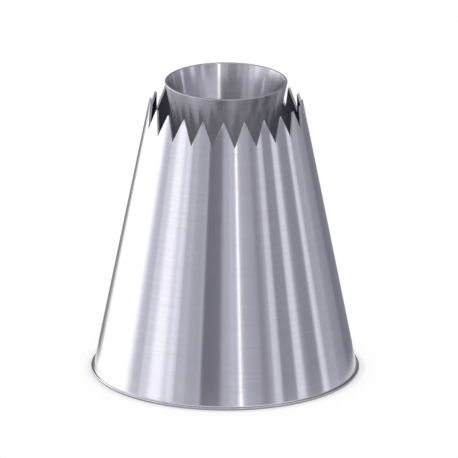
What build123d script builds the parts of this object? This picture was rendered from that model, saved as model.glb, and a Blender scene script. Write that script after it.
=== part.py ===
from build123d import *
import os
from math import atan2, cos, degrees, radians, sin, sqrt

# Piping nozzle of the sultane kind: a toothed sheet cone with a second, open cone standing inside it.
# Dough is pushed up between the two cones and leaves between the teeth and the inner rim.
# Lengths are in millimetres and angles in degrees. Z is the nozzle's axis, wide end down, and the
# origin is in the middle of the face that it stands on. The front is at minus Y, where one tooth points.

# Outer cone
wall_thickness = 0.5
base_diameter = 52.7
tip_circle_diameter = 30.5
tooth_top_height = 56.1
tooth_depth = 4.9
tooth_tip_width = 0.2
tooth_count = 23
front_tooth_angle = -90.0

# Lip: the bottom edge of the same sheet, turned outwards
lip_projection = 0.45
lip_bend_radius = 0.3
lip_inside_chamfer = 0.45

# Inner cone
inner_wall_thickness = 0.5
rim_height = 60.0
rim_diameter = 24.5
rim_edge_chamfer = 0.12
small_end_diameter = 2.75

# Cross strip that carries the inner cone, bent down at both ends
strip_height = 8.0
strip_thickness = 0.8
strip_width = 5.0
strip_bend_radius = 0.8
leg_length = 6.0
leg_corner_chamfer = 1.0

# Weld beads
leg_weld_size = 0.7
leg_weld_bulge_share = 0.62
tip_weld_size = 0.8

# How far a cutting shape runs past what it cuts
overrun = 5.0

# Places and angles worked out from the sizes above
base_radius = base_diameter / 2
tip_radius = tip_circle_diameter / 2
lip_radius = base_radius + lip_projection
rim_radius = rim_diameter / 2
small_end_radius = small_end_diameter / 2
seat_height = strip_height + strip_thickness
leg_end_height = seat_height - leg_length
valley_height = tooth_top_height - tooth_depth
outer_angle = degrees(atan2(base_radius - tip_radius, tooth_top_height))
inner_angle = degrees(atan2(rim_radius - small_end_radius, rim_height - seat_height))
wall_across = wall_thickness / cos(radians(outer_angle))
inner_wall_across = inner_wall_thickness / cos(radians(inner_angle))
strip_across = strip_thickness / cos(radians(outer_angle))


def outside_radius(height):
    """Radius of the outer cone's outside at a height."""
    return base_radius + (tip_radius - base_radius) * height / tooth_top_height


def cavity_radius(height):
    """Radius of the outer cone's inside at a height."""
    return outside_radius(height) - wall_across


def inner_outside_radius(height):
    """Radius of the inner cone's outside at a height."""
    return small_end_radius + (rim_radius - small_end_radius) * (height - seat_height) / (
        rim_height - seat_height
    )


# One notch between two teeth, cut square through the wall from a plane that lies on its outside
slant_depth = tooth_depth / cos(radians(outer_angle))
notch_half_width = tip_radius * sin(radians(180 / tooth_count)) - tooth_tip_width / 2
notch_reach = slant_depth + overrun
notch_plane = Plane(
    origin=(outside_radius(valley_height), 0, valley_height),
    x_dir=(0, 1, 0),
    z_dir=(cos(radians(outer_angle)), 0, sin(radians(outer_angle))),
)
with BuildPart() as notch:
    with BuildSketch(notch_plane):
        with BuildLine():
            Polyline(
                (0, 0),
                (notch_half_width * notch_reach / slant_depth, notch_reach),
                (-notch_half_width * notch_reach / slant_depth, notch_reach),
                close=True,
            )
        make_face()
    extrude(amount=overrun, both=True)

# Outer cone: the sheet and its turned lip in one profile, swept round, then the notches
with BuildPart() as outer_cone:
    with BuildSketch(Plane.XZ) as wall_profile:
        with BuildLine():
            Polyline(
                (cavity_radius(0), 0),
                (lip_radius, 0),
                (lip_radius, wall_thickness),
                (outside_radius(wall_thickness), wall_thickness),
                (tip_radius, tooth_top_height),
                (tip_radius - wall_across, tooth_top_height),
                close=True,
            )
        make_face()
        bend_corner = wall_profile.vertices().group_by(Axis.Y)[1].sort_by(Axis.X)[0]
        fillet(bend_corner, radius=lip_bend_radius)
        inside_corner = wall_profile.vertices().group_by(Axis.Y)[0].sort_by(Axis.X)[0]
        chamfer(inside_corner, length=lip_inside_chamfer)
    revolve(axis=Axis.Z)
    first_notch_angle = front_tooth_angle + 180 / tooth_count
    with PolarLocations(0, tooth_count, start_angle=first_notch_angle):
        add(notch.part, mode=Mode.SUBTRACT)
outer_cone.part.label = "outer_cone"

# Inner cone: open at the top, standing with its small end on the strip
with BuildPart() as inner_cone:
    with BuildSketch(Plane.XZ) as inner_profile:
        with BuildLine():
            Polyline(
                (small_end_radius - inner_wall_across, seat_height),
                (small_end_radius, seat_height),
                (rim_radius, rim_height),
                (rim_radius - inner_wall_across, rim_height),
                close=True,
            )
        make_face()
        chamfer(inner_profile.vertices().group_by(Axis.Y)[-1], length=rim_edge_chamfer)
    revolve(axis=Axis.Z)
inner_cone.part.label = "inner_cone"

# Cross strip: a flat dish whose skirt follows the wall, cut down to a strip along X
with BuildPart() as cross_strip:
    with BuildSketch(Plane.XZ) as strip_profile:
        with BuildLine():
            Polyline(
                (0, strip_height),
                (cavity_radius(strip_height) - strip_across, strip_height),
                (cavity_radius(leg_end_height) - strip_across, leg_end_height),
                (cavity_radius(leg_end_height), leg_end_height),
                (cavity_radius(seat_height), seat_height),
                (0, seat_height),
                close=True,
            )
        make_face()
        inner_bend = strip_profile.vertices().group_by(Axis.Y)[1].sort_by(Axis.X)[-1]
        fillet(inner_bend, radius=strip_bend_radius)
        outer_bend = strip_profile.vertices().group_by(Axis.Y)[-1].sort_by(Axis.X)[-1]
        fillet(outer_bend, radius=strip_bend_radius + strip_thickness)
    revolve(axis=Axis.Z)
    with BuildSketch(Plane.XY):
        Rectangle(2 * lip_radius, strip_width)
    extrude(amount=seat_height + overrun, mode=Mode.INTERSECT)
    leg_corners = cross_strip.edges().filter_by(Axis.X).group_by(Axis.Z)[0]
    chamfer(leg_corners, length=leg_corner_chamfer)
cross_strip.part.label = "cross_strip"

# Four beads, one down each edge of the strip's two legs, in the corner between leg and wall
half_width = strip_width / 2
bead_edge = half_width + leg_weld_size
bead_bulge = leg_weld_size * leg_weld_bulge_share
with BuildPart() as strip_welds:
    for height in (leg_end_height + leg_corner_chamfer, strip_height - strip_bend_radius):
        wall_at_leg = sqrt(cavity_radius(height) ** 2 - half_width**2)
        wall_at_edge = sqrt(cavity_radius(height) ** 2 - bead_edge**2)
        with BuildSketch(Plane.XY.offset(height)):
            with BuildLine():
                Polyline(
                    (wall_at_leg - leg_weld_size, half_width),
                    (wall_at_leg, half_width),
                    (wall_at_edge, bead_edge),
                )
                ThreePointArc(
                    (wall_at_edge, bead_edge),
                    (wall_at_leg - bead_bulge, half_width + bead_bulge),
                    (wall_at_leg - leg_weld_size, half_width),
                )
            make_face()
    loft()
    mirror(about=Plane.XZ)
    mirror(about=Plane.YZ)
strip_welds.part.label = "strip_welds"

# Ring weld that seals the small end of the inner cone to the strip
tip_weld_top = seat_height + tip_weld_size
with BuildPart() as tip_weld:
    with BuildSketch(Plane.XZ):
        with BuildLine():
            Polyline(
                (small_end_radius, seat_height),
                (small_end_radius + tip_weld_size, seat_height),
                (inner_outside_radius(tip_weld_top), tip_weld_top),
                close=True,
            )
        make_face()
    revolve(axis=Axis.Z)
tip_weld.part.label = "tip_weld"

os.makedirs("parts", exist_ok=True)
for piece in (outer_cone, inner_cone, cross_strip, strip_welds, tip_weld):
    export_step(piece.part, f"parts/{piece.part.label}.step")
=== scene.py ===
"""Looks of a sultane piping nozzle: two polished sheet steel cones, one held inside the other."""

import logging
from dataclasses import dataclass
from enum import Enum
from math import asin, atan2, cos, degrees, pi, radians, sin, sqrt, tan
from typing import Sequence

import bmesh
import bpy
from mathutils import Matrix, Vector


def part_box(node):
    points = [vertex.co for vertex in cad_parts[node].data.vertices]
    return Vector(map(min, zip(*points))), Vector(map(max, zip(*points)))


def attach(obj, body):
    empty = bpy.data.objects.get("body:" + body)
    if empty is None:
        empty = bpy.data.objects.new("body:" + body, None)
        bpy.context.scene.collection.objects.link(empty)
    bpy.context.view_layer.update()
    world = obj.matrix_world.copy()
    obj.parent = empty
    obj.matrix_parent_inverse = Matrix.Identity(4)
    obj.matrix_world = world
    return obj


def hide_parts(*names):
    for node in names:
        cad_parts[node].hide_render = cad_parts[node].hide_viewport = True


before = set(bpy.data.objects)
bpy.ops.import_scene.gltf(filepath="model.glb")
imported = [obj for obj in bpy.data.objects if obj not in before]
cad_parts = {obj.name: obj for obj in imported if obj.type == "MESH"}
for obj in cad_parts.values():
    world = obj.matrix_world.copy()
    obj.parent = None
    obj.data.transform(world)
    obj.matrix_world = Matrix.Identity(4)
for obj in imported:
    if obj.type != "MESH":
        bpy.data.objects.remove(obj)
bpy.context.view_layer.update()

LOG = logging.getLogger("piping_nozzle")
MM = 0.001
BODY = "root"
WHITE = "#FFFFFF"
QUARTER_TURN = 0.25
# The middle of a noise, where most of its values lie
NOISE_LOW, NOISE_HIGH = 0.3, 0.7
# How many finer layers a noise has
SOFT_NOISE, MIXED_NOISE, FINE_NOISE = 1.0, 2.0, 3.0

Outline = list[tuple[float, float]]
Section = list[Vector]
Run = tuple["Finish", Outline]
Triple = tuple[float, float, float]
Socket = bpy.types.NodeSocket
Tree = bpy.types.NodeTree


class Finish(Enum):
    """The finishes that a piece can wear, in the order of its material slots."""

    SHEET = 0
    CUT_EDGE = 1
    INSIDE = 2


def linear(hex_colour: str) -> tuple[float, float, float, float]:
    """Turns an sRGB hex colour to linear.

    Args:
        hex_colour: Colour written as "#RRGGBB".

    Returns:
        Linear red, green, blue and an alpha of 1.
    """
    parts = [int(hex_colour[i : i + 2], 16) / 255 for i in (1, 3, 5)]
    red, green, blue = (p / 12.92 if p <= 0.04045 else ((p + 0.055) / 1.055) ** 2.4 for p in parts)
    return red, green, blue, 1.0


def arc(centre: tuple[float, float], radius: float, start: float, end: float, steps: int) -> Outline:
    """Points along an arc, both ends included.

    Args:
        centre: Middle of the arc, in millimetres.
        radius: Radius in millimetres.
        start: First angle in degrees.
        end: Last angle in degrees.
        steps: How many chords the arc is drawn with.

    Returns:
        The points in order.
    """
    angles = [radians(start + (end - start) * i / steps) for i in range(steps + 1)]
    return [(centre[0] + radius * cos(a), centre[1] + radius * sin(a)) for a in angles]


def between(first: float, last: float, steps: int) -> list[float]:
    """Evenly spaced values from just after first up to last."""
    return [first + (last - first) * i / steps for i in range(1, steps + 1)]


def smooth(share: float) -> float:
    """Eases a share from 0 to 1."""
    return share * share * (3 - 2 * share)


def unwrapped(columns: Sequence[Triple]) -> list[Triple]:
    """Adds whole turns so that the azimuths of a panel's columns never jump back.

    Args:
        columns: Azimuth in radians, level and cover of each column.

    Returns:
        The same columns, without a jump between two of them.
    """
    result = [columns[0]]
    for azimuth, level, cover in columns[1:]:
        while azimuth < result[-1][0] - pi:
            azimuth += 2 * pi
        result.append((azimuth, level, cover))
    return result


def turned(outline: Outline, angle: float) -> Section:
    """Stands a (radius, height) outline up at an angle round the axis, given in degrees."""
    a = radians(angle)
    return [Vector((r * cos(a), r * sin(a), z)) for r, z in outline]


def joined(runs: Sequence[Run]) -> Outline:
    """The points of all the runs of an outline, in order."""
    return [point for _, run in runs for point in run]


def finishes_of(runs: Sequence[Run]) -> list[Finish]:
    """The finish of the faces that start at each point of an outline."""
    return [finish for finish, run in runs for _ in run]


def skin(
    name: str, sections: Sequence[Section], ring: bool, finishes: Sequence[Finish] = ()
) -> bpy.types.Object:
    """Skins a row of closed sections into one closed mesh object.

    Args:
        name: Name of the new object.
        sections: Sections with equally many points, in millimetres.
        ring: True if the last section joins the first, False if the ends are capped.
        finishes: Finish of the faces that start at each point. Without it, all are Finish.SHEET.

    Returns:
        The new object, in metres.
    """
    mesh = bpy.data.meshes.new(name)
    shape = bmesh.new()
    rows = [[shape.verts.new(point * MM) for point in section] for section in sections]
    count = len(sections[0])
    pairs = zip(rows, rows[1:] + rows[:1]) if ring else zip(rows, rows[1:])
    for row, following in pairs:
        for i in range(count):
            j = (i + 1) % count
            face = shape.faces.new((row[i], row[j], following[j], following[i]))
            face.material_index = finishes[i].value if finishes else Finish.SHEET.value
    if not ring:
        shape.faces.new(rows[0])
        shape.faces.new(rows[-1])
    bmesh.ops.recalc_face_normals(shape, faces=shape.faces)
    for face in shape.faces:
        face.smooth = True
    shape.to_mesh(mesh)
    shape.free()
    piece = bpy.data.objects.new(name, mesh)
    bpy.context.scene.collection.objects.link(piece)
    return piece


def wear(piece: bpy.types.Object, node: str, slot: str, sharp: float, *materials: bpy.types.Material) -> None:
    """Dresses a piece, sets its sharp edges and puts it in the frame in place of its node.

    Args:
        piece: The new piece.
        node: The CAD node that it stands for.
        slot: The record's material slot; not used.
        sharp: Edges that turn by more than this, in degrees, are sharp.
        materials: Materials in the order of Finish.
    """
    for material in materials:
        piece.data.materials.append(material)
    piece.data.set_sharp_from_angle(angle=radians(sharp))
    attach(piece, BODY)
    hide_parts(node)
    LOG.info("%s: %d faces stand for %s", piece.name, len(piece.data.polygons), node)


def node_size(node: str) -> tuple[Vector, Vector]:
    """Lowest and highest corner of a CAD node, in millimetres."""
    low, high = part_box(node)
    return low / MM, high / MM


def add_node(tree: Tree, kind: str, links: dict | None = None, **settings: object) -> bpy.types.Node:
    """Adds a shader node with its settings, values and links.

    Args:
        tree: The node tree.
        kind: Blender's name for the node type.
        links: Input names or numbers, each with a value or with the output socket that feeds it.
        settings: Attributes of the node.

    Returns:
        The new node.
    """
    node = tree.nodes.new(kind)
    for key, value in settings.items():
        setattr(node, key, value)
    for key, value in (links or {}).items():
        if isinstance(value, Socket):
            tree.links.new(value, node.inputs[key])
        else:
            node.inputs[key].default_value = value
    return node


def new_material(name: str) -> tuple[bpy.types.Material, Tree]:
    """Makes a material.

    Args:
        name: Name of the material.

    Returns:
        The material and its node tree, still empty.
    """
    material = bpy.data.materials.new(name)
    material.use_nodes = True
    material.node_tree.nodes.clear()
    return material, material.node_tree


def grain(tree: Tree, spacing: Triple, detail: float) -> Socket:
    """A noise whose patches are as long, wide and tall as real marks.

    Args:
        tree: The node tree.
        spacing: Size of a mark along X, Y and Z, in millimetres.
        detail: How many finer layers the noise has.

    Returns:
        The noise value, about 0.5 on average.
    """
    place = add_node(tree, "ShaderNodeTexCoord").outputs["Object"]
    scale = tuple(1 / (size * MM) for size in spacing)
    stretched = add_node(tree, "ShaderNodeMapping", {"Vector": place, "Scale": scale})
    noise = add_node(
        tree, "ShaderNodeTexNoise", {"Vector": stretched.outputs[0], "Scale": 1.0, "Detail": detail}
    )
    return noise.outputs[0]


def remap(tree: Tree, noise: Socket, low: float, high: float) -> Socket:
    """Spreads the middle of a noise over a range.

    Args:
        tree: The node tree.
        noise: The noise value.
        low: What the low end of its middle becomes.
        high: What the high end of its middle becomes.

    Returns:
        The new value, never outside the range.
    """
    values = {"From Min": NOISE_LOW, "From Max": NOISE_HIGH, "To Min": low, "To Max": high}
    return add_node(tree, "ShaderNodeMapRange", {"Value": noise, **values}).outputs[0]


def tinted(tree: Tree, noise: Socket, first: str, second: str) -> Socket:
    """Blends two colours by a noise.

    Args:
        tree: The node tree.
        noise: The noise value.
        first: Hex colour where the noise is low.
        second: Hex colour where the noise is high.

    Returns:
        The blended colour.
    """
    # Inputs 6 and 7 and output 2 of this node are its colours, which share their names with others
    colours = {0: remap(tree, noise, 0.0, 1.0), 6: linear(first), 7: linear(second)}
    return add_node(tree, "ShaderNodeMix", colours, data_type="RGBA").outputs[2]


def dress_metal(
    tree: Tree,
    colour: Socket,
    roughness: tuple[Socket, float, float],
    relief: tuple[Socket, float],
    brushed: dict | None = None,
) -> None:
    """Ends a tree as bare metal, with the default index of refraction.

    Args:
        tree: The node tree.
        colour: The metal's colour.
        roughness: The noise that it follows, its middle and how far it goes to either side.
        relief: The noise of the marks and how deep they are, in millimetres.
        brushed: Values of the shader for metal whose marks run one way.
    """
    noise, middle, change = roughness
    marks, depth = relief
    bump = add_node(tree, "ShaderNodeBump", {"Height": marks, "Distance": depth * MM, "Strength": 1.0})
    values = {
        "Base Color": colour,
        "Metallic": 1.0,
        "Roughness": remap(tree, noise, middle - change, middle + change),
        "Normal": bump.outputs[0],
    }
    shader = add_node(tree, "ShaderNodeBsdfPrincipled", values | (brushed or {}))
    add_node(tree, "ShaderNodeOutputMaterial", {"Surface": shader.outputs[0]})


@dataclass(frozen=True)
class SpunStainless:
    """18/8 stainless sheet, by default polished while it turned on a lathe.

    The fine marks run round the cone, so a reflection stays crisp across them and smears up and down.
    """

    name: str = "spun_polished_stainless"
    colour: str = "#D7D6DE"
    marked_colour: str = "#CFCED6"
    roughness: float = 0.18
    roughness_change: float = 0.008
    anisotropy: float = 0.97
    cloud_size: float = 7.0
    mark_length: float = 7.0
    # Real polishing marks are about 0.05 mm apart, and drawn at 0.25 mm they show as a fine grain
    mark_spacing: float = 0.25
    mark_depth: float = 0.0002

    def material(self) -> bpy.types.Material:
        """Builds the material, for a piece that stands round the Z axis.

        Returns:
            The material.
        """
        material, tree = new_material(self.name)
        clouds = grain(tree, (self.cloud_size,) * 3, MIXED_NOISE)
        marks = grain(tree, (self.mark_length, self.mark_length, self.mark_spacing), FINE_NOISE)
        colour = tinted(tree, marks, self.colour, self.marked_colour)
        tangent = add_node(tree, "ShaderNodeTangent", direction_type="RADIAL", axis="Z")
        brushed = {
            "Anisotropic": self.anisotropy,
            "Anisotropic Rotation": QUARTER_TURN,
            "Tangent": tangent.outputs[0],
        }
        roughness = (clouds, self.roughness, self.roughness_change)
        dress_metal(tree, colour, roughness, (marks, self.mark_depth), brushed)
        return material


# Polished less finely, so that its reflections are softer streaks
SATIN_STAINLESS = SpunStainless(
    name="spun_satin_stainless",
    marked_colour="#C8C7CF",
    roughness=0.25,
    roughness_change=0.02,
)
# Spun but never polished; its darker grey is painted shade on the outer cone's inside and lip face
UNPOLISHED_STAINLESS_PAINTED_SHADE = SpunStainless(
    name="spun_unpolished_stainless_painted_shade",
    colour="#A6A6AE",
    marked_colour="#9C9CA4",
    roughness=0.16,
    roughness_change=0.02,
    anisotropy=0.9,
)


@dataclass(frozen=True)
class ShearedSteelEdge:
    """The sheared edge of the same sheet, lightly deburred: paler and duller than the polished face."""

    name: str = "sheared_steel_edge"
    colour: str = "#D2D1D6"
    torn_colour: str = "#B4B3BA"
    roughness: float = 0.34
    roughness_change: float = 0.05
    tear_size: float = 0.25
    tear_depth: float = 0.01

    def material(self) -> bpy.types.Material:
        """Builds the material.

        Returns:
            The material.
        """
        material, tree = new_material(self.name)
        tears = grain(tree, (self.tear_size,) * 3, MIXED_NOISE)
        colour = tinted(tree, tears, self.colour, self.torn_colour)
        dress_metal(tree, colour, (tears, self.roughness, self.roughness_change), (tears, self.tear_depth))
        return material


@dataclass(frozen=True)
class ColdRolledStrip:
    """Cold-rolled 18/8 strip with its mill finish: a soft sheen with faint rolling lines along X."""

    name: str = "cold_rolled_stainless_strip"
    colour: str = "#C2C1C4"
    rolled_colour: str = "#B2B1B4"
    roughness: float = 0.36
    roughness_change: float = 0.05
    line_length: float = 12.0
    line_spacing: float = 0.25
    line_depth: float = 0.006

    def material(self) -> bpy.types.Material:
        """Builds the material.

        Returns:
            The material.
        """
        material, tree = new_material(self.name)
        lines = grain(tree, (self.line_length, self.line_spacing, self.line_spacing), FINE_NOISE)
        colour = tinted(tree, lines, self.colour, self.rolled_colour)
        dress_metal(tree, colour, (lines, self.roughness, self.roughness_change), (lines, self.line_depth))
        return material


@dataclass(frozen=True)
class WeldBead:
    """Stainless weld bead as it cooled: duller than the sheet, with a straw and blue heat tint in patches."""

    name: str = "stainless_weld_bead"
    colour: str = "#A9A6A2"
    straw_tint: str = "#A8925F"
    blue_tint: str = "#6E7690"
    roughness: float = 0.38
    roughness_change: float = 0.08
    blue_end: float = 0.35
    straw_middle: float = 0.48
    clean_start: float = 0.62
    tint_size: float = 1.4
    scale_size: float = 0.2
    scale_depth: float = 0.012

    def material(self) -> bpy.types.Material:
        """Builds the material.

        Returns:
            The material.
        """
        material, tree = new_material(self.name)
        heat = grain(tree, (self.tint_size,) * 3, SOFT_NOISE)
        scale = grain(tree, (self.scale_size,) * 3, MIXED_NOISE)
        ramp = add_node(tree, "ShaderNodeValToRGB", {0: heat})
        blue, clean = ramp.color_ramp.elements
        blue.position, blue.color = self.blue_end, linear(self.blue_tint)
        clean.position, clean.color = self.clean_start, linear(self.colour)
        ramp.color_ramp.elements.new(self.straw_middle).color = linear(self.straw_tint)
        roughness = (scale, self.roughness, self.roughness_change)
        dress_metal(tree, ramp.outputs[0], roughness, (scale, self.scale_depth))
        return material


@dataclass
class OuterCone:
    """The toothed outer cone with its turned lip, one sheet. Lengths are in millimetres."""

    sheet: float = 0.5
    lip_projection: float = 0.45
    tip_radius: float = 15.25
    tooth_depth: float = 4.9
    tooth_tip_width: float = 0.2
    tooth_count: int = 23
    front_tooth_angle: float = -90.0
    bend_radius: float = 0.3
    foot_radius: float = 0.6
    edge_radius: float = 0.12
    sole_radius: float = 0.25
    burr_width: float = 0.06
    burr_height: float = 0.12
    foot_steps: int = 6
    edge_steps: int = 4
    bend_steps: int = 6
    columns_per_flank: int = 11
    wall_rows: int = 12
    tooth_rows: int = 4
    # How far under the valleys the rows of the teeth start, in such rows
    rows_under_valley: float = 1.5
    sharp: float = 32.0

    def __post_init__(self) -> None:
        """Takes the outside sizes from the frame and works out the cone's lines."""
        _, high = node_size("outer_cone")
        self.lip_radius: float = high.x
        self.top: float = high.z
        self.base_radius: float = self.lip_radius - self.lip_projection
        self.slope: float = (self.base_radius - self.tip_radius) / self.top
        self.lean: float = atan2(self.base_radius - self.tip_radius, self.top)
        self.valley: float = self.top - self.tooth_depth
        self.pitch: float = 360 / self.tooth_count
        self.flank_width: float = self.tip_radius * sin(radians(self.pitch / 2)) - self.tooth_tip_width / 2
        self.flank_run: float = self.flank_width * cos(self.lean) / self.tooth_depth

    def line_at(self, depth: float) -> float:
        """Radius at height 0 of the cone that lies this deep under the outside."""
        return self.base_radius - depth / cos(self.lean)

    def radius(self, depth: float, height: float) -> float:
        """Radius at a height, this deep under the outside."""
        return self.line_at(depth) - self.slope * height

    def inside(self, height: float) -> float:
        """Radius of the space inside the cone at a height."""
        return self.radius(self.sheet, height)

    def edge_height(self, depth: float, from_notch: float) -> float:
        """Height of the toothed edge, from the notch that is cut square through the sheet.

        Args:
            depth: How deep under the outside, in millimetres.
            from_notch: Angle from the middle of the nearest notch, in degrees.

        Returns:
            The height in millimetres, no higher than the tooth tips.
        """
        a = abs(radians(from_notch))
        start = self.line_at(depth)
        valley_radius = self.radius(0, self.valley)
        rise = start * sin(a) + self.flank_run * (
            sin(self.lean) * (start * cos(a) - valley_radius) + cos(self.lean) * self.valley
        )
        run = self.slope * sin(a) + self.flank_run * (sin(self.lean) * self.slope * cos(a) + cos(self.lean))
        return min(rise / run, self.top)

    def runs(self, from_notch: float) -> list[Run]:
        """The sheet's section, from the foot round the lip, up, over the cut edge and down the inner wall.

        Args:
            from_notch: Angle from the middle of the nearest notch, in degrees.

        Returns:
            The runs. The lip's own edge and its underside wear the finish of the inside.
        """
        lean = degrees(self.lean)
        foot_in = self.foot_radius / cos(self.lean)
        foot = (self.inside(self.foot_radius) + foot_in, self.foot_radius)
        bend_height = self.sheet + self.bend_radius
        bend = (self.radius(0, bend_height) + self.bend_radius / cos(self.lean), bend_height)
        sole = (self.lip_radius - self.sole_radius, self.sole_radius)
        rim = (self.lip_radius - self.edge_radius, self.sheet - self.edge_radius)
        underside = arc(foot, self.foot_radius, 180 + lean, 270, self.foot_steps)
        underside += arc(sole, self.sole_radius, 270, 360, self.edge_steps)
        face = arc(rim, self.edge_radius, 0, 90, self.edge_steps)
        face += arc(bend, self.bend_radius, 270, 180 + lean, self.bend_steps)
        root = self.valley - self.rows_under_valley * self.tooth_depth / self.tooth_rows
        top = self.edge_height(0, from_notch) - self.burr_height
        heights = between(face[-1][1], root, self.wall_rows) + between(root, top, self.tooth_rows)
        face += [(self.radius(0, z), z) for z in heights]
        edge = [face.pop()]
        for depth in (self.burr_width, self.sheet - self.burr_width):
            height = self.edge_height(depth, from_notch)
            edge.append((self.radius(depth, height), height))
        top = self.edge_height(self.sheet, from_notch) - self.burr_height
        heights = between(root, top, self.tooth_rows)[::-1]
        heights += [root] + between(underside[0][1], root, self.wall_rows)[-2::-1]
        back = [(self.inside(z), z) for z in heights]
        return [
            (Finish.INSIDE, underside),
            (Finish.SHEET, face),
            (Finish.CUT_EDGE, edge),
            (Finish.INSIDE, back),
        ]

    def columns(self) -> list[tuple[float, float]]:
        """Places of the columns of points, from a tooth tip through each notch to the next tip.

        Returns:
            Angle round the axis and angle from the nearest notch of each column, in degrees.
        """
        tip_angle = degrees(asin(self.flank_width / self.tip_radius))
        angles = []
        for notch in range(self.tooth_count):
            middle = self.front_tooth_angle + (notch + 0.5) * self.pitch
            for i in range(-self.columns_per_flank, self.columns_per_flank + 1):
                offset = tip_angle * i / self.columns_per_flank
                angles.append((middle + offset, offset))
        return angles

    def build(self, *materials: bpy.types.Material) -> None:
        """Builds the cone.

        Args:
            materials: Its materials, in the order of Finish.
        """
        sections = [turned(joined(self.runs(offset)), angle) for angle, offset in self.columns()]
        piece = skin("toothed_outer_cone", sections, True, finishes_of(self.runs(0.0)))
        wear(piece, "outer_cone", "cone_steel", self.sharp, *materials)


@dataclass
class InnerCone:
    """The open inner cone that stands on the strip. Lengths are in millimetres."""

    sheet: float = 0.5
    small_end_radius: float = 1.375
    edge_radius: float = 0.14
    edge_steps: int = 5
    columns: int = 320
    wall_rows: int = 14
    sharp: float = 32.0

    def __post_init__(self) -> None:
        """Takes the ends from the frame."""
        low, high = node_size("inner_cone")
        self.seat: float = low.z
        self.rim: float = high.z
        self.rim_radius: float = high.x
        self.lean: float = atan2(self.rim_radius - self.small_end_radius, self.rim - self.seat)
        self.across: float = self.sheet / cos(self.lean)

    def radius(self, height: float) -> float:
        """Outside radius at a height."""
        share = (height - self.seat) / (self.rim - self.seat)
        return self.small_end_radius + (self.rim_radius - self.small_end_radius) * share

    def runs(self) -> list[Run]:
        """The sheet's section, from the small end up the outside, over the rim and down the inside.

        Returns:
            The runs.
        """
        lean = degrees(self.lean)
        height = self.rim - self.edge_radius
        inset = self.edge_radius / cos(self.lean)
        outer_centre = (self.radius(height) - inset, height)
        inner_centre = (self.radius(height) - self.across + inset, height)
        edge = arc(outer_centre, self.edge_radius, -lean, 90, self.edge_steps)
        heights = [self.seat] + between(self.seat, edge[0][1], self.wall_rows)[:-1]
        face = [(self.radius(z), z) for z in heights]
        edge += arc(inner_centre, self.edge_radius, 90, 180 - lean, self.edge_steps)
        back = [edge.pop()]
        heights = between(back[0][1], self.seat, self.wall_rows)
        back += [(self.radius(z) - self.across, z) for z in heights]
        return [(Finish.SHEET, face), (Finish.CUT_EDGE, edge), (Finish.INSIDE, back)]

    def build(self, *materials: bpy.types.Material) -> None:
        """Builds the cone.

        Args:
            materials: Its materials, in the order of Finish.
        """
        runs = self.runs()
        sections = [turned(joined(runs), 360 * i / self.columns) for i in range(self.columns)]
        piece = skin("open_inner_cone", sections, True, finishes_of(runs))
        wear(piece, "inner_cone", "cone_steel", self.sharp, *materials)


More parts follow.
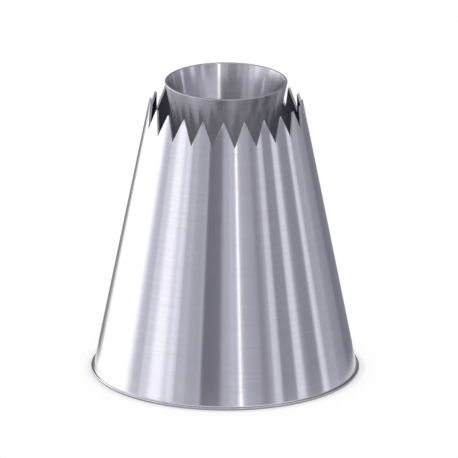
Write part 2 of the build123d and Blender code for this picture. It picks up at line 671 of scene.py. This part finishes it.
@dataclass
class CrossStrip:
    """The strip that carries the inner cone, its two legs bent down along the outer cone's wall."""

    thickness: float = 0.8
    bend_radius: float = 0.8
    edge_radius: float = 0.15
    corner: float = 1.0
    bend_steps: int = 8
    leg_steps: int = 8
    # Share of the leg that its rounded foot takes up
    foot_share: float = 0.02
    flat_steps: int = 12
    face_steps: int = 8
    edge_steps: int = 3
    sharp: float = 40.0

    def __post_init__(self) -> None:
        """Takes the outside sizes from the frame."""
        low, high = node_size("cross_strip")
        self.half_width: float = high.y
        self.bottom: float = low.z
        self.bend_height: float = high.z - self.thickness - self.bend_radius

    def section(self, outside: Vector, inside: Vector, inset: float) -> Section:
        """One closed section across the strip, its outer side on a ring round the axis.

        Args:
            outside: Radius and height of the outer side.
            inside: Radius and height of the inner side.
            inset: How far the section is drawn in on all sides, in millimetres.

        Returns:
            The points on the side of plus X.
        """
        gone = max(0.0, self.bottom + self.corner - outside.y)
        rounded = self.corner - sqrt(max(0.0, self.corner**2 - gone**2))
        edge = self.edge_radius
        across = self.half_width - rounded - inset - edge
        deep = self.thickness - inset - edge
        face = [-across + 2 * across * i / self.face_steps for i in range(1, self.face_steps)]
        shape = [(y, inset) for y in face]
        shape += arc((across, inset + edge), edge, 270, 360, self.edge_steps)
        shape += arc((across, deep), edge, 0, 90, self.edge_steps)
        shape += [(y, self.thickness - inset) for y in face[::-1]]
        shape += arc((-across, deep), edge, 90, 180, self.edge_steps)
        shape += arc((-across, inset + edge), edge, 180, 270, self.edge_steps)
        points = []
        for y, depth in shape:
            place = outside.lerp(inside, depth / self.thickness)
            points.append(Vector((sqrt(place.x**2 - y**2), y, place.y)))
        return points

    def half(self, outer: OuterCone) -> list[Section]:
        """The strip's half at plus X.

        Args:
            outer: The cone that its leg lies against.

        Returns:
            Sections from the end of the leg up to where the flat begins.
        """
        lean = degrees(outer.lean)
        outer_bend = self.bend_radius + self.thickness
        centre_radius = outer.inside(self.bend_height) - outer_bend / cos(outer.lean)
        centre = Vector((centre_radius, self.bend_height))
        bend = []
        for angle in [lean] + between(lean, 90, self.bend_steps):
            way = Vector((cos(radians(angle)), sin(radians(angle))))
            bend.append((centre + way * outer_bend, centre + way * self.bend_radius))
        reach = outer.inside(self.bottom)
        foot_out = Vector((reach, self.bottom))
        foot_in = Vector((reach - self.thickness / cos(outer.lean), self.bottom))
        leg = []
        for share in between(self.foot_share, 1, self.leg_steps):
            leg.append((foot_out.lerp(bend[0][0], share), foot_in.lerp(bend[0][1], share)))
        sections = [self.section(foot_out, foot_in, self.edge_radius / 2)]
        return sections + [self.section(o, i, 0) for o, i in leg + bend[1:]]

    def build(self, outer: OuterCone, material: bpy.types.Material) -> None:
        """Builds the strip.

        Args:
            outer: The cone that it stands in.
            material: Its material.
        """
        right = self.half(outer)
        left = [[Vector((-p.x, p.y, p.z)) for p in section] for section in reversed(right)]
        flat = []
        for share in between(0, 1, self.flat_steps)[:-1]:
            flat.append([a.lerp(b, share) for a, b in zip(right[-1], left[0])])
        piece = skin("cross_strip_with_legs", right + flat + left, False)
        wear(piece, "cross_strip", "strip_steel", self.sharp, material)


@dataclass
class Welds:
    """The four beads along the strip's legs and the ring round the inner cone's small end."""

    leg_size: float = 0.7
    tip_size: float = 0.76
    flatness: float = 0.12
    ripple_height: float = 0.07
    ripple_spacing: float = 0.5
    sunk: float = 0.12
    # A leg bead tapers at its ends, where the square of its size falls to this share, this steeply
    end_share: float = 0.12
    end_steepness: int = 7
    arc_steps: int = 10
    leg_sections: int = 48
    tip_sections: int = 120
    sharp: float = 50.0

    def bead(self, size: float) -> Outline:
        """A quarter bead round the origin.

        Args:
            size: How far it reaches along plus X and plus Y, in millimetres.

        Returns:
            Its hidden corner, then the shown face from plus X to plus Y.
        """
        points = [(-self.sunk, -self.sunk), (size, -self.sunk)]
        for i in range(self.arc_steps + 1):
            turn = pi / 2 * i / self.arc_steps
            reach = size * (1 - self.flatness * sin(2 * turn))
            points.append((reach * cos(turn), reach * sin(turn)))
        return points + [(-self.sunk, size)]

    def ripple(self, along: float) -> float:
        """How much larger the bead is at a place along it, in a weld's overlapping scales."""
        return 1 + self.ripple_height * (abs(cos(pi * along / self.ripple_spacing)) - 0.5)

    def leg_bead(self, outer: OuterCone, strip: CrossStrip, side: int, edge: int) -> list[Section]:
        """One bead up a leg of the strip.

        Args:
            outer: The cone that the leg lies against.
            strip: The strip.
            side: 1 for the leg at plus X, -1 for the one at minus X.
            edge: 1 for the leg's edge at plus Y, -1 for the one at minus Y.

        Returns:
            Sections from the bead's lower end up.
        """
        low = strip.bottom + strip.corner
        length = strip.bend_height - low
        sections = []
        for i in range(self.leg_sections + 1):
            share = i / self.leg_sections
            height = low + share * length
            taper = sqrt(max(self.end_share, 1 - abs(2 * share - 1) ** self.end_steepness))
            wall = sqrt(outer.inside(height) ** 2 - strip.half_width**2)
            size = self.leg_size * taper * self.ripple(share * length)
            sections.append(
                [
                    Vector((side * (wall - along), edge * (strip.half_width + out), height))
                    for along, out in self.bead(size)
                ]
            )
        return sections

    def build(
        self, outer: OuterCone, inner: InnerCone, strip: CrossStrip, material: bpy.types.Material
    ) -> None:
        """Builds all the beads.

        Args:
            outer: The cone that the legs lie against.
            inner: The cone that stands on the strip.
            strip: The strip.
            material: Their material.
        """
        for side_name, side in (("right", 1), ("left", -1)):
            for edge_name, edge in (("back", 1), ("front", -1)):
                sections = self.leg_bead(outer, strip, side, edge)
                piece = skin(f"leg_weld_{side_name}_{edge_name}", sections, False)
                wear(piece, "strip_welds", "weld_steel", self.sharp, material)
        length = 2 * pi * inner.small_end_radius
        ring = []
        for i in range(self.tip_sections):
            size = self.tip_size * self.ripple(length * i / self.tip_sections)
            outline = [(inner.small_end_radius + x, inner.seat + z) for x, z in self.bead(size)]
            ring.append(turned(outline, 360 * i / self.tip_sections))
        piece = skin("small_end_weld", ring, True)
        wear(piece, "tip_weld", "weld_steel", self.sharp, material)


@dataclass(frozen=True)
class Viewpoint:
    """Where the photograph was taken from. The azimuth is measured from minus Y towards plus X."""

    azimuth: float = 1.637
    elevation: float = 18.5
    roll: float = -0.178
    distance: float = 2500.0
    pixels_per_mm: float = 5.018
    frame_pixels: float = 458.0
    sensor: float = 36.0
    aim_right: float = 0.67
    aim_height: float = 29.0
    # What it sees, in metres
    nearest: float = 0.1
    farthest: float = 20.0

    def axes(self) -> tuple[Vector, Vector, Vector]:
        """The camera's directions before the roll.

        Returns:
            Unit vectors to the right, up and back towards the camera.
        """
        a, e = radians(self.azimuth), radians(self.elevation)
        right = Vector((cos(a), sin(a), 0))
        back = Vector((sin(a) * cos(e), -cos(a) * cos(e), sin(e)))
        return right, back.cross(right), back

    def build(self) -> None:
        """Makes the camera and sets it as the scene's."""
        right, up, back = self.axes()
        r = radians(self.roll)
        rolled_right, rolled_up = right * cos(r) - up * sin(r), right * sin(r) + up * cos(r)
        aim = right * self.aim_right + Vector((0, 0, self.aim_height))
        data = bpy.data.cameras.new("photograph_view")
        data.sensor_width = self.sensor
        data.lens = self.pixels_per_mm * self.distance * self.sensor / self.frame_pixels
        data.clip_start, data.clip_end = self.nearest, self.farthest
        camera = bpy.data.objects.new("photograph_view", data)
        turn = Matrix((rolled_right, rolled_up, back)).transposed().to_4x4()
        camera.matrix_world = Matrix.Translation((aim + back * self.distance) * MM) @ turn
        bpy.context.scene.collection.objects.link(camera)
        bpy.context.scene.camera = camera


# Light off a warm card, and light that comes straight through a gap in the cloth
WARM_BOARD = "#F8F1E2"
BARE_LIGHT = "#FCFAF5"
# Light that has come through cloth: the more cloth, the bluer it is
WHITE_CLOTH = "#FAF9FA"
THIN_CLOTH = "#F7F7FA"
PALE_CLOTH = "#F3F3FA"
CLOTH = "#F0F0FA"
GREY_CLOTH = "#EDEDFA"
DARK_CLOTH = "#E8E8FA"

# Where the tent's bands of cloth end, as elevations in degrees, and how far a panel hangs over the next
SKIRT_LOW, WALL_LOW, WALL_HIGH, CEILING_HIGH = -75.0, -17.0, 15.0, 62.0
OVERHANG = 1.0


@dataclass(frozen=True)
class Panel:
    """One cloth or card of the light tent, seen only in reflections.

    Start and end are the places of its edges, from the camera's side and growing to the right. Those of a
    wall panel are angles round the outer cone, where the edge shows in the polished sheet, and those of
    the other panels are azimuths. Softness is how wide each edge fades, in degrees.
    """

    name: str
    start: float
    end: float
    level: float
    end_level: float
    softness: tuple[float, float]
    colour: str = CLOTH
    low: float = WALL_LOW
    high: float = WALL_HIGH
    shown_in_cone: bool = True


WALL_PANELS = (
    Panel("left_edge_board", -96.0, -80.4, 0.31, 0.31, (1.0, 2.0), WARM_BOARD, low=-32.0),
    Panel("left_softbox", -77.6, -44.0, 2.6, 1.5, (10.0, 2.0), WHITE, low=-13.5, high=26.0),
    Panel("left_gap", -47.9, -41.6, 0.95, 0.80, (6.0, 1.2)),
    Panel("left_front_cloth", -41.6, -23.1, 1.08, 1.20, (1.2, 2.6), PALE_CLOTH),
    Panel("left_front_softbox", -36.3, -29.6, 1.58, 1.57, (3.4, 3.2), THIN_CLOTH),
    Panel("left_front_pleat", -27.1, -25.0, 1.36, 1.32, (0.9, 0.9), PALE_CLOTH),
    Panel("front_left_cloth", -22.6, -11.1, 0.74, 0.56, (2.2, 0.6)),
    Panel("front_left_fold", -22.6, -18.4, 0.81, 0.80, (2.2, 1.2)),
    Panel("front_left_pleat", -12.9, -11.1, 0.69, 0.69, (0.8, 0.6)),
    Panel("front_flag", -11.1, -2.3, 0.20, 0.285, (0.8, 2.4), DARK_CLOTH),
    Panel("front_cloth", -1.8, 6.4, 0.61, 0.85, (2.0, 1.0)),
    Panel("front_pleat", 2.0, 4.6, 0.85, 0.85, (1.6, 1.2)),
    Panel("front_right_cloth", 7.6, 16.8, 0.73, 0.56, (1.0, 2.0)),
    Panel("bright_gap", 6.3, 7.5, 1.86, 1.86, (0.6, 0.6), BARE_LIGHT),
    Panel("right_gap", 20.0, 22.6, 0.57, 0.62, (2.0, 1.0)),
    Panel("right_gap_light", 22.4, 26.2, 1.11, 0.94, (0.5, 0.8), PALE_CLOTH),
    Panel("right_batten_cloth", 37.5, 40.6, 0.52, 0.51, (0.8, 1.2)),
    Panel("right_batten_light", 33.6, 38.2, 1.08, 1.20, (0.8, 2.3), PALE_CLOTH),
    Panel("right_far_light", 48.5, 53.0, 1.42, 0.80, (2.4, 1.6), PALE_CLOTH),
    Panel("right_cloth", 53.0, 61.5, 0.63, 0.66, (2.0, 4.0)),
    Panel("right_back_cloth", 61.5, 71.0, 0.52, 0.40, (4.0, 2.5), low=-30.0),
    Panel("right_back_flag", 71.0, 87.2, 0.30, 0.34, (2.5, 2.5), DARK_CLOTH, low=-32.0),
    Panel("right_edge_cloth", 87.6, 96.0, 0.52, 0.62, (2.4, 1.0), low=-32.0),
)


def ceiling(
    name: str,
    start: float,
    end: float,
    level: float,
    end_level: float,
    softness: float,
    low: float = WALL_HIGH - OVERHANG,
    high: float = CEILING_HIGH,
) -> Panel:
    """A panel above the wall panels, between two azimuths, with both edges equally soft."""
    return Panel(name, start, end, level, end_level, (softness, softness), WHITE_CLOTH, low, high, False)


def skirt(name: str, start: float, end: float, level: float, end_level: float, softness: float) -> Panel:
    """A panel below the wall panels, between two azimuths, with both edges equally soft."""
    edges, high = (softness, softness), WALL_LOW + OVERHANG
    return Panel(name, start, end, level, end_level, edges, CLOTH, SKIRT_LOW, high, False)


OTHER_PANELS = (
    skirt("low_left_cloth", -135.0, -72.0, 0.17, 0.48, 10.0),
    skirt("low_front_left_cloth", -72.0, -22.0, 0.42, 0.40, 6.0),
    skirt("low_front_flag", -20.0, 1.5, 0.27, 0.06, 4.0),
    skirt("low_front_right_cloth", 5.0, 40.0, 0.25, 0.18, 6.0),
    skirt("low_right_flag", 43.0, 140.0, 0.08, 0.06, 8.0),
    ceiling("high_left_cloth", -140.0, -92.0, 0.70, 1.22, 12.0),
    ceiling("high_back_light", -149.8, -145.4, 3.7, 3.7, 1.4),
    ceiling("high_back_flag", 112.0, 200.0, 0.26, 0.18, 16.0),
    ceiling("high_right_fold", 84.0, 94.0, 0.55, 0.55, 4.0),
    ceiling("high_right_flag", 22.0, 58.0, 0.32, 0.32, 12.0, high=34.0),
    ceiling("high_front_cloth", -30.0, 8.0, 1.05, 1.05, 4.0, high=19.0),
    ceiling("high_front_flag", -62.0, 8.0, 0.14, 0.14, 8.0, low=19.0, high=34.0),
    ceiling("high_front_light", -75.0, 75.0, 1.6, 1.6, 16.0, low=35.0),
    ceiling("high_bright_gap", 12.7, 16.3, 6.8, 6.8, 1.0, high=19.0),
)


@dataclass(frozen=True)
class Studio:
    """A small round table top in a light tent, with a plain white world round both."""

    viewpoint: Viewpoint
    lean: float
    table_radius: float = 34.0
    table_glow: float = 0.86
    # Glow inside the nozzle is painted light: a pool in the middle and painted shade round it
    painted_light_pool_glow: float = 1.0
    painted_dim_light_glow: float = 0.56
    contact_glow: float = 0.25
    painted_light_pool_rings: Triple = (13.0, 17.0, 25.4)
    contact_rings: Triple = (26.4, 27.4, 28.4)
    tent_radius: float = 2200.0
    panel_gap: float = 20.0
    skirt_level: float = 0.30
    wall_level: float = 0.43
    ceiling_level: float = 0.85
    top_level: float = 0.45
    columns: int = 96
    ramp_columns: int = 5

    def azimuth_of(self, mark: float, shown_in_cone: bool) -> float:
        """Where in the scene an edge of a panel goes.

        Args:
            mark: The edge's place, in degrees, as in Panel.
            shown_in_cone: True if it is the angle round the outer cone that mirrors the edge to the camera.

        Returns:
            The azimuth from plus X, in radians.
        """
        if not shown_in_cone:
            return radians(mark + self.viewpoint.azimuth - 90)
        a, e = radians(mark), radians(self.viewpoint.elevation)
        normal = Vector((cos(self.lean) * sin(a), -cos(self.lean) * cos(a), sin(self.lean)))
        view = Vector((0, -cos(e), sin(e)))
        way = 2 * normal.dot(view) * normal - view
        return atan2(way.x, -way.y) + radians(self.viewpoint.azimuth - 90)

    def glowing(self, name: str, colour: str) -> bpy.types.Material:
        """A cloth whose light and cover come from the mesh's own glow and cover values.

        Args:
            name: Name of the material.
            colour: Hex colour of its light.

        Returns:
            The material.
        """
        material, tree = new_material(name)
        glow = add_node(tree, "ShaderNodeAttribute", attribute_name="glow").outputs["Fac"]
        cover = add_node(tree, "ShaderNodeAttribute", attribute_name="cover").outputs["Fac"]
        light = add_node(tree, "ShaderNodeEmission", {"Color": linear(colour), "Strength": glow})
        self.cover_up(tree, cover, light.outputs[0])
        return material

    def cover_up(self, tree: Tree, cover: Socket, surface: Socket) -> None:
        """Ends a tree as a surface that is clear where it isn't covered.

        Args:
            tree: The node tree.
            cover: How much of the surface is there, from 0 to 1.
            surface: The surface's shader.
        """
        clear = add_node(tree, "ShaderNodeBsdfTransparent")
        mix = add_node(tree, "ShaderNodeMixShader", {0: cover, 1: clear.outputs[0], 2: surface})
        add_node(tree, "ShaderNodeOutputMaterial", {"Surface": mix.outputs[0]})

    def hang(
        self, name: str, columns: Sequence[Triple], reach: tuple[float, float], distance: float, colour: str
    ) -> None:
        """Hangs one curved panel of the tent.

        Args:
            name: Name of the panel.
            columns: Azimuth in radians, level and cover of each column.
            reach: Lowest and highest elevation, in degrees.
            distance: Distance from the axis, in millimetres.
            colour: sRGB hex colour of its light.
        """
        middle = self.viewpoint.aim_height
        heights = [middle + distance * tan(radians(e)) for e in reach]
        points = [
            Vector((distance * cos(a), distance * sin(a), z)) * MM for a, _, _ in columns for z in heights
        ]
        faces = [(2 * i, 2 * i + 2, 2 * i + 3, 2 * i + 1) for i in range(len(columns) - 1)]
        mesh = bpy.data.meshes.new(name)
        mesh.from_pydata(points, [], faces)
        for label, which in (("glow", 1), ("cover", 2)):
            values = mesh.attributes.new(label, "FLOAT", "POINT")
            values.data.foreach_set("value", [column[which] for column in columns for _ in heights])
        mesh.materials.append(self.glowing(name, colour))
        self.show_in_reflections_only(bpy.data.objects.new(name, mesh))

    def show_in_reflections_only(self, card: bpy.types.Object) -> None:
        """Puts a card in the scene that only metal mirrors.

        Args:
            card: The card.
        """
        bpy.context.scene.collection.objects.link(card)
        card.visible_camera = False
        card.visible_diffuse = False
        card.visible_shadow = False
        card.visible_transmission = False

    def hang_panel(self, panel: Panel, distance: float) -> None:
        """Hangs one panel of the tent with its soft edges.

        Args:
            panel: The panel.
            distance: Distance from the axis, in millimetres.
        """
        left, right = panel.softness
        marks = [panel.start - left / 2]
        marks += between(marks[0], panel.start + left / 2, self.ramp_columns)
        marks += between(marks[-1], panel.end - right / 2, self.ramp_columns)
        marks += between(marks[-1], panel.end + right / 2, self.ramp_columns)
        columns = []
        for mark in marks:
            rise = min(1.0, (mark - marks[0]) / left)
            fall = min(1.0, (marks[-1] - mark) / right)
            cover = min(smooth(rise), smooth(fall))
            share = (mark - marks[0]) / (marks[-1] - marks[0])
            level = panel.level + (panel.end_level - panel.level) * share
            columns.append((self.azimuth_of(mark, panel.shown_in_cone), level, cover))
        self.hang(panel.name, unwrapped(columns), (panel.low, panel.high), distance, panel.colour)

    def build(self) -> None:
        """Builds the tent, the table top and the world."""
        bands = (
            ("tent_skirt", self.skirt_level, SKIRT_LOW, WALL_LOW, GREY_CLOTH),
            ("tent_wall", self.wall_level, WALL_LOW, WALL_HIGH, GREY_CLOTH),
            ("tent_ceiling", self.ceiling_level, WALL_HIGH, CEILING_HIGH, WHITE_CLOTH),
        )
        for name, level, low, high, colour in bands:
            ring = [(2 * pi * i / self.columns, level, 1.0) for i in range(self.columns + 1)]
            self.hang(name, ring, (low, high), self.tent_radius, colour)
        for place, panel in enumerate(OTHER_PANELS + WALL_PANELS, start=1):
            self.hang_panel(panel, self.tent_radius - place * self.panel_gap)
        self.close_tent("tent_floor", SKIRT_LOW, self.skirt_level)
        self.close_tent("tent_top", CEILING_HIGH, self.top_level)
        self.set_table()
        self.light_world()

    def disc(self, name: str, rings: Sequence[Triple], height: float) -> bpy.types.Object:
        """A flat disc.

        Args:
            name: Name of the object.
            rings: Radius in millimetres, cover and glow of each ring from the middle out.
            height: Height in millimetres.

        Returns:
            The new object, not yet in the scene.
        """
        points, faces = [Vector((0, 0, height)) * MM], []
        cover, glow = [rings[0][1]], [rings[0][2]]
        for radius, ring_cover, ring_glow in rings:
            for i in range(self.columns):
                a = 2 * pi * i / self.columns
                points.append(Vector((radius * cos(a), radius * sin(a), height)) * MM)
                cover.append(ring_cover)
                glow.append(ring_glow)
        for i in range(self.columns):
            j = (i + 1) % self.columns
            faces.append((0, 1 + i, 1 + j))
            for ring in range(len(rings) - 1):
                near, far = 1 + ring * self.columns, 1 + (ring + 1) * self.columns
                faces.append((near + i, far + i, far + j, near + j))
        mesh = bpy.data.meshes.new(name)
        mesh.from_pydata(points, [], faces)
        for label, values in (("cover", cover), ("glow", glow)):
            mesh.attributes.new(label, "FLOAT", "POINT").data.foreach_set("value", values)
        return bpy.data.objects.new(name, mesh)

    def close_tent(self, name: str, elevation: float, level: float) -> None:
        """Closes the tent with a flat cloth where its walls end, far above or below the table top.

        Args:
            name: Name of the cloth.
            elevation: Where the walls end, in degrees.
            level: How bright the cloth is.
        """
        height = self.viewpoint.aim_height + self.tent_radius * tan(radians(elevation))
        cloth = self.disc(name, [(self.tent_radius, 1.0, level)], height)
        cloth.data.materials.append(self.glowing(name, GREY_CLOTH))
        self.show_in_reflections_only(cloth)

    def set_table(self) -> None:
        """Sets a white table top that keeps the nozzle's shadow and fades out into the white world.

        Where the lip touches it, the table glows least, so that its own contact shadow shows. Inside the
        nozzle its glow is painted light: a pool in the middle, where light falls in, and painted shade round
        that.
        """
        lit, shaded, last = self.painted_light_pool_rings
        inner, middle, outer = self.contact_rings
        # Inside the nozzle these rings paint a pool of light in the middle and shade round it
        rings = [
            (lit, 1.0, self.painted_light_pool_glow),
            (shaded, 1.0, self.painted_dim_light_glow),
            (last, 1.0, self.painted_dim_light_glow),
            (inner, 1.0, self.contact_glow),
            (middle, 1.0, self.contact_glow),
            (outer, 1.0, self.table_glow),
            (self.table_radius, 0.0, self.table_glow),
        ]
        table = self.disc("table_top", rings, 0.0)
        material, tree = new_material("white_laminate_painted_light")
        path = add_node(tree, "ShaderNodeLightPath").outputs
        rays = {0: path["Is Camera Ray"], 1: path["Is Glossy Ray"]}
        seen = add_node(tree, "ShaderNodeMath", rays, operation="ADD").outputs[0]
        rays = {0: seen, 1: path["Is Transmission Ray"]}
        seen = add_node(tree, "ShaderNodeMath", rays, operation="ADD", use_clamp=True).outputs[0]
        glow = add_node(tree, "ShaderNodeAttribute", attribute_name="glow").outputs["Fac"]
        share = add_node(tree, "ShaderNodeMath", {0: seen, 1: glow}, operation="MULTIPLY").outputs[0]
        matt = add_node(tree, "ShaderNodeBsdfDiffuse", {"Color": linear(WHITE)}).outputs[0]
        white = add_node(tree, "ShaderNodeEmission", {"Color": linear(WHITE), "Strength": 1.0}).outputs[0]
        top = add_node(tree, "ShaderNodeMixShader", {0: share, 1: matt, 2: white}).outputs[0]
        cover = add_node(tree, "ShaderNodeAttribute", attribute_name="cover").outputs["Fac"]
        behind = add_node(tree, "ShaderNodeNewGeometry").outputs["Backfacing"]
        shown = add_node(tree, "ShaderNodeMath", {0: cover, 1: behind}, operation="SUBTRACT", use_clamp=True)
        self.cover_up(tree, shown.outputs[0], top)
        table.data.materials.append(material)
        bpy.context.scene.collection.objects.link(table)

    def light_world(self) -> None:
        """Lights everything with a plain white world, whose strength of 1 is white to every ray."""
        world = bpy.data.worlds.new("white_world")
        world.use_nodes = True
        tree = world.node_tree
        tree.nodes.clear()
        white = add_node(tree, "ShaderNodeBackground", {"Color": linear(WHITE), "Strength": 1.0})
        add_node(tree, "ShaderNodeOutputWorld", {"Surface": white.outputs[0]})
        bpy.context.scene.world = world


def main() -> None:
    """Builds every piece, the light tent and the camera."""
    logging.basicConfig(level=logging.INFO, format="%(message)s")
    bpy.context.scene.view_settings.view_transform = "Standard"
    polished, cut_edge = SpunStainless().material(), ShearedSteelEdge().material()
    outer, inner, strip = OuterCone(), InnerCone(), CrossStrip()
    # The outer cone's inside and its lip's edge and underside wear a darker grey that is painted shade
    outer.build(polished, cut_edge, UNPOLISHED_STAINLESS_PAINTED_SHADE.material())
    inner.build(SATIN_STAINLESS.material(), cut_edge, polished)
    strip.build(outer, ColdRolledStrip().material())
    Welds().build(outer, inner, strip, WeldBead().material())
    viewpoint = Viewpoint()
    viewpoint.build()
    Studio(viewpoint, outer.lean).build()


if __name__ == "__main__":
    main()
